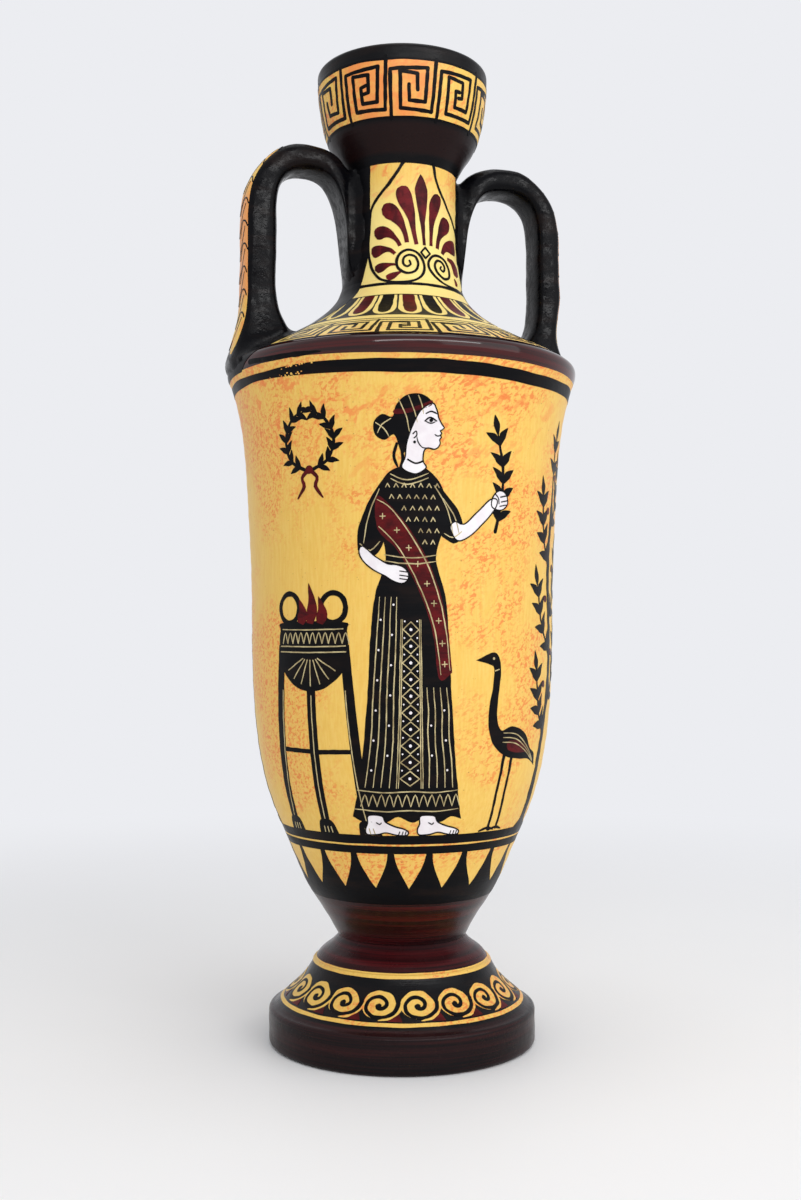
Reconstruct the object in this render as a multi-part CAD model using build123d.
from build123d import *
import os

# A lekythos: a tall oil jug with a broad shoulder, a thin neck and a deep cup for a mouth.
# It is thrown on a wheel in sections, and each section is luted to the next at a stepped seam.
# Millimetres. The origin is the centre of the foot on the resting plane, +Z is up,
# and the two strap handles lie towards +X and -X.
# Shares are pairs of (radius share, height share), counted from the lower end of a curve to its upper end.

# Heights of the sections and the radii of their seams
foot_height = 32.0
body_height = 169.0
shoulder_height = 30.0
neck_height = 36.0
mouth_height = 33.0
foot_radius = 40.8
waist_radius = 19.6
barrel_radius = 46.8
body_top_radius = 53.1
collar_radius = 18.9
neck_radius = 16.8
rim_radius = 26.6

# Foot: a disc, a hollow cone, a small rolled ledge and a throat
disc_height = 11.4
disc_rounding = 1.5
ledge_height = 25.2
ledge_radius = 27.4
ledge_rounding = 0.9
resting_ring_width = 8.4
recess_height = 15.0
recess_top_radius = 7.0
foot_cone_shares = ((0.36, 0.28), (0.68, 0.55))
foot_throat_shares = ((0.19, 0.27), (0.73, 0.70))

# Body: a tapering side, a straight barrel and a flare
body_wall = 5.0
floor_thickness = 13.0
floor_radius = 11.0
barrel_level_share = 0.65
body_side_shares = (
    (0.121, 0.0355), (0.335, 0.089), (0.518, 0.154), (0.765, 0.249), (0.952, 0.402), (0.989, 0.52),
)
body_flare_shares = ((0.17, 0.39), (0.33, 0.645), (0.58, 0.83))
cavity_low_shares = ((0.30, 0.13), (0.62, 0.42))

# Shoulder: a rolled edge and a hollow slope
edge_overhang = 0.9
edge_rise = 3.0
edge_roll_height = 5.6
edge_roll_inset = 1.4
shoulder_slope_shares = (
    (0.068, 0.057), (0.243, 0.18), (0.475, 0.344), (0.677, 0.508), (0.831, 0.672), (0.941, 0.836),
)
shoulder_under_shares = ((0.09, 0.13), (0.29, 0.31), (0.52, 0.51), (0.75, 0.72))

# Neck and mouth
neck_wall = 5.3
neck_side_shares = ((0.40, 0.14), (0.93, 0.39), (0.93, 0.70))
mouth_side_shares = ((0.165, 0.10), (0.575, 0.30), (0.845, 0.56), (0.95, 0.78))
rim_rounding = 1.4
lip_thickness = 3.6
bowl_floor_rise = 9.0
bowl_shares = ((0.26, 0.06), (0.65, 0.29), (0.91, 0.625))

# Stepped seams: a spigot on one section stands in a socket of the next
foot_spigot_radius = 11.0
foot_spigot_height = 4.0
rebate_wall = 2.0
shoulder_spigot_thickness = 2.6
shoulder_spigot_height = 4.0
neck_spigot_thickness = 3.2
neck_spigot_height = 4.0
mouth_spigot_thickness = 2.6
mouth_spigot_height = 3.0

# Strap handles, pulled by hand, so that the two differ a little
handle_width = 14.0
left_setback = 3.1
left_strap_thickness = 10.0
left_crown_rise = 7.0
left_ankle_share = 1.04
right_setback = 2.3
right_strap_thickness = 8.2
right_crown_rise = 6.0
right_ankle_share = 0.98
crown_thickness = 8.2
strap_rounding = 2.7
rounding_limit_share = 0.45
web_thickness = 2.2
lobe_overhang = 1.1
lobe_thickness = 4.0
strap_outer_shares = (
    (-0.13, 0.855), (0.05, 0.917), (0.14, 0.963), (0.255, 0.988), (0.416, 1.0), (0.607, 0.99),
    (0.812, 0.92), (0.953, 0.812), (1.0, 0.667), (1.0, 0.52),
)
ankle_level_shares = (0.362, 0.188)
ankle_onset_share = 0.2
lobe_level_shares = (1.0, -0.25, -0.83)
strap_inner_shares = (
    (-0.25, 0.354), (-0.02, 0.515), (0.02, 0.707), (0.105, 0.868), (0.34, 0.985), (0.685, 0.995),
    (0.91, 0.94), (0.983, 0.855), (1.0, 0.74), (1.0, 0.57), (1.0, 0.402), (0.911, 0.265),
    (0.80, 0.16), (0.85, 0.07), (0.92, 0.02),
)
strap_width_shares = (0.75, 0.85, 0.95, 1.0, 1.0, 1.0, 1.0, 1.0, 1.0, 1.0, 1.0, 1.06, 1.25, 1.35, 1.3)

# Levels and radii that follow from the sizes above
waist_level = foot_height
seam_level = waist_level + body_height
collar_level = seam_level + shoulder_height
neck_top_level = collar_level + neck_height
total_height = neck_top_level + mouth_height
edge_level = seam_level + edge_rise
barrel_level = waist_level + body_height * barrel_level_share
edge_radius = body_top_radius + edge_overhang
bore_radius = neck_radius - neck_wall


def between(start, end, share):
    """The value a share of the way from start to end."""
    return start + (end - start) * share


def along(start, end, shares):
    """Points of a curve from start to end, at pairs of shares of the way in radius and in height."""
    return [(between(start[0], end[0], across), between(start[1], end[1], up)) for across, up in shares]


def turned(outline):
    """The solid that a closed outline of radius and height makes when it turns about Z."""
    return revolve(make_face(Plane.YZ * outline), Axis.Z)


def disc(radius, low, high):
    """A plain disc about Z between two heights."""
    return Pos(0, 0, low) * Cylinder(radius, high - low, align=(Align.CENTER, Align.CENTER, Align.MIN))


# Outer curves of the sections


def foot_curve():
    """Disc, cone, ledge and throat, from the resting ring to the waist."""
    ring_edge = (foot_radius - disc_rounding, 0)
    side_low = (foot_radius, disc_rounding)
    side_high = (foot_radius, disc_height - disc_rounding)
    disc_top = (foot_radius - disc_rounding, disc_height)
    ledge = (ledge_radius, ledge_height - ledge_rounding)
    ledge_top = (ledge_radius - ledge_rounding, ledge_height)
    waist = (waist_radius, waist_level)
    low_round = RadiusArc(ring_edge, side_low, -disc_rounding)
    side = Line(side_low, side_high)
    high_round = RadiusArc(side_high, disc_top, -disc_rounding)
    cone = Spline([disc_top] + along(disc_top, ledge, foot_cone_shares) + [ledge])
    roll = RadiusArc(ledge, ledge_top, -ledge_rounding)
    throat = Spline([ledge_top] + along(ledge_top, waist, foot_throat_shares) + [waist])
    return low_round + side + high_round + cone + roll + throat


def body_points(inset):
    """Points of the body's side, or of a line that lies inside it by the inset."""
    waist = (waist_radius - inset, waist_level)
    belly = (barrel_radius - inset, seam_level)
    barrel = (barrel_radius - inset, barrel_level)
    top = (body_top_radius - inset, seam_level)
    side = [waist] + along(waist, belly, body_side_shares)
    return side + [barrel] + along(barrel, top, body_flare_shares) + [top]


def rebate_radius():
    """Radius of the rebate round the body's top, which leaves its wall outside it at the rebate's floor."""
    across, up = body_flare_shares[-1]
    flare = (body_top_radius - barrel_radius) * (1 - across)
    steepness = flare / ((seam_level - barrel_level) * (1 - up))
    return body_top_radius - shoulder_spigot_height * steepness - rebate_wall


def shoulder_curve():
    """Rolled edge and hollow slope, from the seam to the collar."""
    seam = (body_top_radius, seam_level)
    roll_top = (edge_radius - edge_roll_inset, seam_level + edge_roll_height)
    collar = (collar_radius, collar_level)
    roll = ThreePointArc(seam, (edge_radius, edge_level), roll_top)
    return roll + Spline([roll_top] + along(roll_top, collar, shoulder_slope_shares) + [collar])


def neck_curve():
    """Slightly hollow side of the neck."""
    collar = (collar_radius, collar_level)
    top = (neck_radius, neck_top_level)
    return Spline([collar] + along(collar, top, neck_side_shares) + [top])


def mouth_curve():
    """Flaring side of the cup, up to its rounded rim."""
    base = (neck_radius, neck_top_level)
    widest = (rim_radius, total_height - rim_rounding)
    rim = (rim_radius - rim_rounding, total_height)
    side = Spline([base] + along(base, widest, mouth_side_shares) + [widest])
    return side + RadiusArc(widest, rim, -rim_rounding)


def vessel_form():
    """The whole outside as one solid block, which the ends of the handles are cut to fit."""
    side = foot_curve() + Spline(body_points(0)) + shoulder_curve() + neck_curve() + mouth_curve()
    rim = (rim_radius - rim_rounding, total_height)
    ring_edge = (foot_radius - disc_rounding, 0)
    return turned(side + Polyline(rim, (0, total_height), (0, 0), ring_edge))


# The turned sections


def foot():
    """Foot with a resting ring, a turned recess under it and a spigot on its top."""
    spigot_top = waist_level + foot_spigot_height
    top = Polyline(
        (waist_radius, waist_level),
        (foot_spigot_radius, waist_level),
        (foot_spigot_radius, spigot_top),
        (0, spigot_top),
        (0, recess_height),
        (recess_top_radius, recess_height),
        (foot_radius - resting_ring_width, 0),
        (foot_radius - disc_rounding, 0),
    )
    return turned(foot_curve() + top)


def body():
    """Hollow body with a thick floor, a socket for the foot under it and a rebate round its top."""
    inner_top = (body_top_radius - body_wall, seam_level)
    floor_edge = (floor_radius, waist_level + floor_thickness)
    wall = [point for point in body_points(body_wall) if point[1] > floor_edge[1] + floor_thickness]
    cavity = Spline([floor_edge] + along(floor_edge, wall[0], cavity_low_shares) + wall)
    rebate_level = seam_level - shoulder_spigot_height
    outside = Spline(body_points(0)) + Polyline(
        (body_top_radius, seam_level), (0, seam_level), (0, waist_level), (waist_radius, waist_level)
    )
    inside = cavity + Polyline(inner_top, (0, seam_level), (0, floor_edge[1]), floor_edge)
    solid = turned(outside) - turned(inside)
    solid -= disc(foot_spigot_radius, waist_level, waist_level + foot_spigot_height)
    return solid - disc(rebate_radius(), rebate_level, seam_level)


def shoulder():
    """Shoulder with a spigot that drops into the body and a socket for the neck."""
    spigot_radius = rebate_radius()
    spigot_inside = (spigot_radius - shoulder_spigot_thickness, seam_level)
    spigot_foot = seam_level - shoulder_spigot_height
    socket_floor = collar_level - neck_spigot_height
    socket_radius = bore_radius + neck_spigot_thickness
    bore_end = (bore_radius, socket_floor)
    socket = Polyline(
        (collar_radius, collar_level),
        (socket_radius, collar_level),
        (socket_radius, socket_floor),
        bore_end,
    )
    under = Spline([spigot_inside] + along(spigot_inside, bore_end, shoulder_under_shares) + [bore_end])
    spigot = Polyline(
        spigot_inside,
        (spigot_inside[0], spigot_foot),
        (spigot_radius, spigot_foot),
        (spigot_radius, seam_level),
        (body_top_radius, seam_level),
    )
    return turned(shoulder_curve() + socket + under + spigot)


def neck():
    """Neck tube with a spigot at each end."""
    low_spigot = bore_radius + neck_spigot_thickness
    high_spigot = bore_radius + mouth_spigot_thickness
    low_end = collar_level - neck_spigot_height
    high_end = neck_top_level + mouth_spigot_height
    ends = Polyline(
        (neck_radius, neck_top_level),
        (high_spigot, neck_top_level),
        (high_spigot, high_end),
        (bore_radius, high_end),
        (bore_radius, low_end),
        (low_spigot, low_end),
        (low_spigot, collar_level),
        (collar_radius, collar_level),
    )
    return turned(neck_curve() + ends)


def mouth():
    """Cup with a flat lip, a rounded bowl and a socket for the neck."""
    socket_radius = bore_radius + mouth_spigot_thickness
    socket_top = neck_top_level + mouth_spigot_height
    bowl_floor = (bore_radius, neck_top_level + bowl_floor_rise)
    lip = (rim_radius - lip_thickness, total_height)
    bowl = Spline([bowl_floor] + along(bowl_floor, lip, bowl_shares) + [lip])
    socket = Polyline(
        bowl_floor,
        (bore_radius, socket_top),
        (socket_radius, socket_top),
        (socket_radius, neck_top_level),
        (neck_radius, neck_top_level),
    )
    return turned(mouth_curve() + Line((rim_radius - rim_rounding, total_height), lip) + bowl + socket)


# The handles


def strap_edges(setback, thickness, crown_rise, ankle_share):
    """Outer and inner points of each cross-section of a strap, from the neck to the shoulder's edge."""
    reach = edge_radius - setback
    crown_level = neck_top_level + crown_rise
    outer_low = (neck_radius, edge_level)
    outer_high = (reach, crown_level)
    inner_low = (neck_radius + web_thickness, edge_level)
    inner_high = (reach - thickness, crown_level - crown_thickness)
    ankle_shares = zip((between(1, ankle_share, ankle_onset_share), ankle_share), ankle_level_shares)
    outer = along(outer_low, outer_high, strap_outer_shares + tuple(ankle_shares))
    inner = along(inner_low, inner_high, strap_inner_shares)
    lobe_levels = [edge_level + edge_rise * share for share in lobe_level_shares]
    lobe_radii = [edge_radius + lobe_overhang, edge_radius + lobe_overhang / 2, edge_radius - lobe_thickness]
    return list(zip(outer + list(zip(lobe_radii, lobe_levels)), inner))


def strap_section(outer, inner, width):
    """A rounded slab of clay across the strap, between its outer and its inner point."""
    outer_point, inner_point = Vector(outer[0], 0, outer[1]), Vector(inner[0], 0, inner[1])
    across = outer_point - inner_point
    middle = Plane(origin=(outer_point + inner_point) / 2, x_dir=across, z_dir=across.cross(Vector(0, 1, 0)))
    rounding = min(strap_rounding, rounding_limit_share * min(across.length, width))
    return middle * RectangleRounded(across.length, width, rounding)


def handle(*strap_sizes):
    """A strap handle towards +X, cut to fit the vessel where it is luted on."""
    widths = [handle_width * share for share in strap_width_shares]
    sections = [strap_section(*edges, width) for edges, width in zip(strap_edges(*strap_sizes), widths)]
    return loft(sections) - vessel_form()


left_strap = handle(left_setback, left_strap_thickness, left_crown_rise, left_ankle_share)
right_strap = handle(right_setback, right_strap_thickness, right_crown_rise, right_ankle_share)
pieces = {
    "foot": foot(),
    "body": body(),
    "shoulder": shoulder(),
    "neck": neck(),
    "mouth": mouth(),
    "left_handle": Rot(0, 0, 180) * left_strap,
    "right_handle": right_strap,
}
os.makedirs("parts", exist_ok=True)
for name, piece in pieces.items():
    export_step(piece, f"parts/{name}.step")
